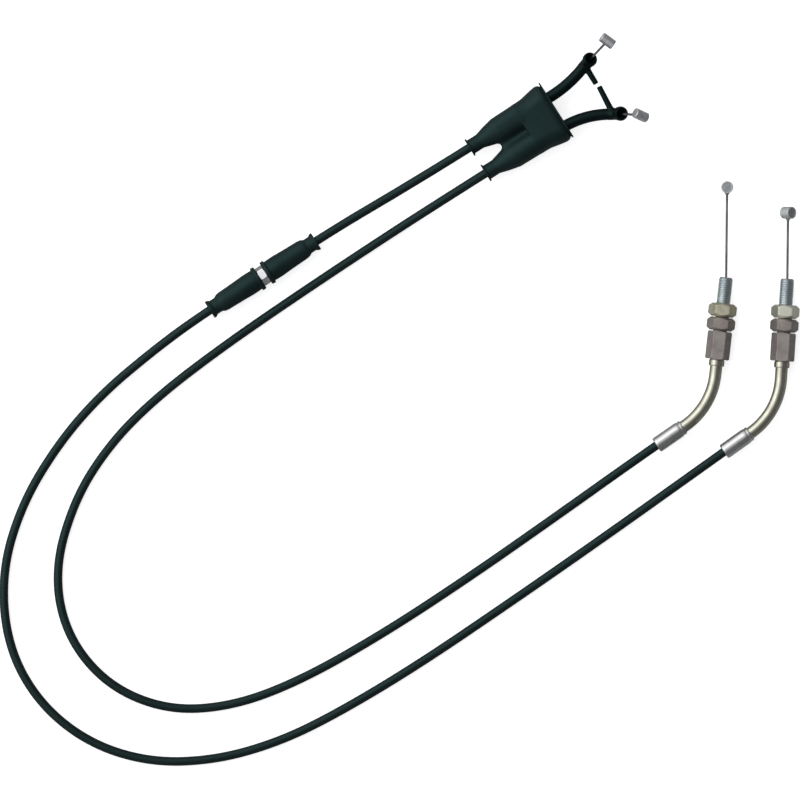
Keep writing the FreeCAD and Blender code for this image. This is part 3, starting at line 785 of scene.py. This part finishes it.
def fitting(name, body, run_body, tilt, tube, reach, lean, upper_nut):
    """One cable's metal end.

    tilt is the stud's angle to the frame's y axis (WIRE_TILT is the bare wire's), tube is the
    guide tube's first run, turn and last run, and lean is the nipple's angle from upright.
    """
    mount = mounts[name + "_stud"]
    at = shifted(place(mount["pos_m"], mount["axis"]), MOUNT_TO_TIP)

    shell = Shell()
    outline = fillet([(HEX[1] - 1, STUD_BORE_R), (HEX[1] - 1, STUD_R), (-1.0, STUD_R),
                      (0, 3.1, 0.2), (0, STUD_BORE_R, 0.3)])
    shape = thread(THREAD_PITCH, THREAD_DEPTH, STUD_R)
    shell.add(*turned(dense(outline, 0.13), 72, shape), 1)
    shell.add(*hex_body(HEX_FLATS, *HEX, 6.15, 3.9), 0)
    outline = fillet([(COLLAR[0], 3.55), (COLLAR[0], COLLAR_R, 0.5),
                      (COLLAR[1] - 0.5, COLLAR_R, 0.15), (COLLAR[1] - 0.5, 4.0, 0.15),
                      (COLLAR[1] + 1, 4.0), (COLLAR[1] + 1, 3.55)])
    shell.add(*turned(dense(outline, 0.5), 72), 2)
    finish(shell.piece(name + "_barrel_and_stud", at, [BARREL, STUD, TUBE], 32), body,
           "barrel_steel", name + "_threaded_barrel")

    for which, top in NUT_TOPS.items():
        shell = Shell()
        shell.add(*hex_body(NUT_FLATS, top - NUT_LENGTH, top, 6.0, 3.9))
        look, slot = upper_nut if which == "upper" else (NUT_DULL, "nut_dull")
        nut = f"{name}_nut_{which}"
        finish(shell.piece(f"{name}_{which}_hexagon_nut", at, [look], 40), nut, slot, nut)

    run, turn, end_run = tube
    pen = Pen((COLLAR[0] + TUBE_HELD, 0, 0), (-1, 0, 0), 0.8)
    pen.ahead(TUBE_HELD + run)
    pen.swing(TUBE_BEND_R, -turn, Z)
    ferrule_at = pen.at + pen.along * end_run
    pen.ahead(end_run + IN_FERRULE)
    shell = Shell()
    shell.add(*swept(pen.points, TUBE_R, 64))
    finish(shell.piece(name + "_bent_tube", at, [TUBE], 60), body, "tube_nickel",
           name + "_guide_tube")

    end = at @ place(ferrule_at * MM, pen.along)
    outline = fillet([(0, 3.52), (0, 4.15, 0.3), (1.3, 4.35, 0.3), (1.75, 3.95, 0.25),
                      (2.2, 4.35, 0.3), (3.4, 4.5, 0.6), (18.3, 4.5, 0.9), (18.3, 2.6, 0.3),
                      (4, 2.6), (4, 3.52)])
    shell = Shell()
    shell.add(*turned(dense(outline, 0.8), 96))
    finish(shell.piece(name + "_crimped_ferrule", end, [FERRULE], 60), body, "ferrule_nickel",
           name + "_carb_ferrule")

    bent = tilt - WIRE_TILT
    shift = WIRE_BEND_R * math.tan(math.radians(bent / 2))
    pen = Pen((-WIRE_FROM, 0, 0), (1, 0, 0), 0.6)
    pen.ahead(WIRE_FROM - shift)
    pen.swing(WIRE_BEND_R, bent, Z)
    pen.ahead(reach - shift)
    wire = strands(pen.points).piece(name + "_carb_strands", at, [STRAND], 60)
    centre = at @ (pen.at * MM)
    out = (at.to_3x3() @ pen.along).normalized()
    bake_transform(wire)
    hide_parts(name + "_carb_wire", name + "_inner_wire")

    lean = math.radians(lean)
    level = place(centre, out)
    axis = level.to_3x3() @ Vector((0, -math.sin(lean), math.cos(lean)))
    shell = Shell()
    outline = fillet([(-3.4, 2.75, 0.15), (-3.4, 3.4, 0.4), (3.4, 3.4, 0.4), (3.4, 2.75, 0.15),
                      (3.1, 2.5), (-3.1, 2.5)])
    shell.add(*turned(dense(outline, 0.4), 72))
    plug = [Vector(p) for p in ((-3.25, 0.01), (-3.2, 2.6), (3.2, 2.6), (3.25, 0.01))]
    shell.add(*turned(dense(plug, 0.4, False), 72, closed=False), 1)
    points, faces = turned([Vector(p) for p in ((3.0, 1.5), (3.6, 1.2), (4.6, 0.75))], 32,
                           closed=False)
    shell.add([(c, b, -a) for a, b, c in points], faces, 1)
    nipple = shell.piece(name + "_carb_barrel_nipple", place(centre, axis, up=out),
                         [CARB_ZINC, SOLDER], 40)
    finish(nipple, run_body, "carb_nipple_zinc", name + "_carb_nipple")


fitting("pull", "pull_lower_run", "pull_carb_end", 3.7, (6.2, 50.8, 0.46), 37.1, 42.0,
        (NUT_BRIGHT, "nut_bright"))
fitting("return", "cable_set", "return_carb_end", 6.4, (4.97, 48.8, 1.18), 50.7, 0.0,
        (NUT_PALE, "nut_pale"))


# ---- carried-over CAD pieces ----

for node, look in {"adjuster_screw": ADJUSTER_ZINC, "adjuster_sleeve": ADJUSTER_ZINC,
                   "adjuster_ferrule_upper": STEEL, "adjuster_ferrule_lower": STEEL,
                   "pull_grip_ferrule": STEEL, "return_grip_ferrule": STEEL}.items():
    kept = frame["nodes"][node]
    kept.data.materials.clear()
    kept.data.materials.append(look)


# ---- floor and light ----

FLOOR_HALF = 6
FLOOR_GREY = (0.50, 0.50, 0.50, 1)
FLOOR_SEEN = (0.93, 0.93, 0.93, 1)
FLOOR_GLOW = 0.76

mesh = bpy.data.meshes.new("floor")
mesh.from_pydata([(x * FLOOR_HALF, y * FLOOR_HALF, 0)
                  for x, y in ((-1, -1), (1, -1), (1, 1), (-1, 1))], [], [(0, 1, 2, 3)])
floor = bpy.data.objects.new("floor", mesh)
bpy.context.scene.collection.objects.link(floor)
white, nodes, links, bsdf = shader("floor_white")
seen = nodes.new("ShaderNodeLightPath")
pale = nodes.new("ShaderNodeMix")
pale.data_type = "RGBA"
pale.inputs[6].default_value = FLOOR_GREY
pale.inputs[7].default_value = FLOOR_SEEN
links.new(seen.outputs["Is Camera Ray"], pale.inputs["Factor"])
links.new(pale.outputs[2], bsdf.inputs["Base Color"])
bsdf.inputs["Emission Color"].default_value = (1, 1, 1, 1)
glow = nodes.new("ShaderNodeMath")
glow.operation = "MULTIPLY"
glow.inputs[1].default_value = FLOOR_GLOW
links.new(seen.outputs["Is Camera Ray"], glow.inputs[0])
links.new(glow.outputs["Value"], bsdf.inputs["Emission Strength"])
bsdf.inputs["Roughness"].default_value = 0.9
bsdf.inputs["Specular IOR Level"].default_value = 0.1
mesh.materials.append(white)

SKY_LOW, SKY_HIGH = 0.16, 1.15
SKY_TOWARDS = Vector((-0.80, 0.35, 0.62)).normalized()
world = bpy.data.worlds.new("studio")
world.use_nodes = True
nodes, links = world.node_tree.nodes, world.node_tree.links
where = nodes.new("ShaderNodeTexCoord")
facing = nodes.new("ShaderNodeVectorMath")
facing.operation = "DOT_PRODUCT"
facing.inputs[1].default_value = SKY_TOWARDS
links.new(where.outputs["Generated"], facing.inputs[0])
level = nodes.new("ShaderNodeMapRange")
level.interpolation_type = "SMOOTHSTEP"
level.inputs["From Min"].default_value = 0.25
level.inputs["From Max"].default_value = 1.0
level.inputs["To Min"].default_value = SKY_LOW
level.inputs["To Max"].default_value = SKY_HIGH
links.new(facing.outputs["Value"], level.inputs["Value"])
sky = nodes["Background"]
sky.inputs["Color"].default_value = (0.97, 0.98, 1.0, 1)
links.new(level.outputs["Result"], sky.inputs["Strength"])
bpy.context.scene.world = world
bpy.context.scene.view_settings.view_transform = "Standard"


def softbox(name, at, size, watts):
    """A square lamp aimed at the middle of the view."""
    lamp = bpy.data.lights.new(name, "AREA")
    lamp.shape = "RECTANGLE"
    lamp.size, lamp.size_y = size
    lamp.energy = watts
    made = bpy.data.objects.new(name, lamp)
    made.location = at
    aim = Vector((*VIEW_AT, 0)) - Vector(at)
    made.rotation_euler = aim.to_track_quat("-Z", "Y").to_euler()
    bpy.context.scene.collection.objects.link(made)


softbox("key", (-1.6, 0.9, 2.0), (2.2, 2.2), 12)

bpy.context.view_layer.update()
